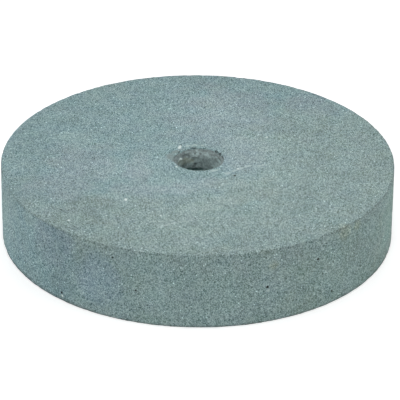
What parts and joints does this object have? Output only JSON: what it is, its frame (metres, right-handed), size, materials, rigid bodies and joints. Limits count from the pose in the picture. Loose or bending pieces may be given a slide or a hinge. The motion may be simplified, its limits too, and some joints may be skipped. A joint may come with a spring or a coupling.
{
  "type": "bench grinding wheel",
  "caption": "Straight abrasive wheel for a bench grinder: a thick vitrified disc with flat faces and a cast bush lining its bore.",
  "frame": {"origin": "on the bore's axis, at the face that the wheel lies on", "axes": "+Z along the bore's axis, from the face that the wheel lies on towards the other face"},
  "size_m": [0.2, 0.2, 0.04],
  "materials": {
    "vitrified_silicon_carbide": "coarse, matt, open-pored",
    "cast_bush": "rough as cast, mottled grey"
  },
  "bodies": {
    "root": {"abrasive_wheel": "vitrified_silicon_carbide", "bore_bush": "cast_bush"}
  },
  "joints": []
}
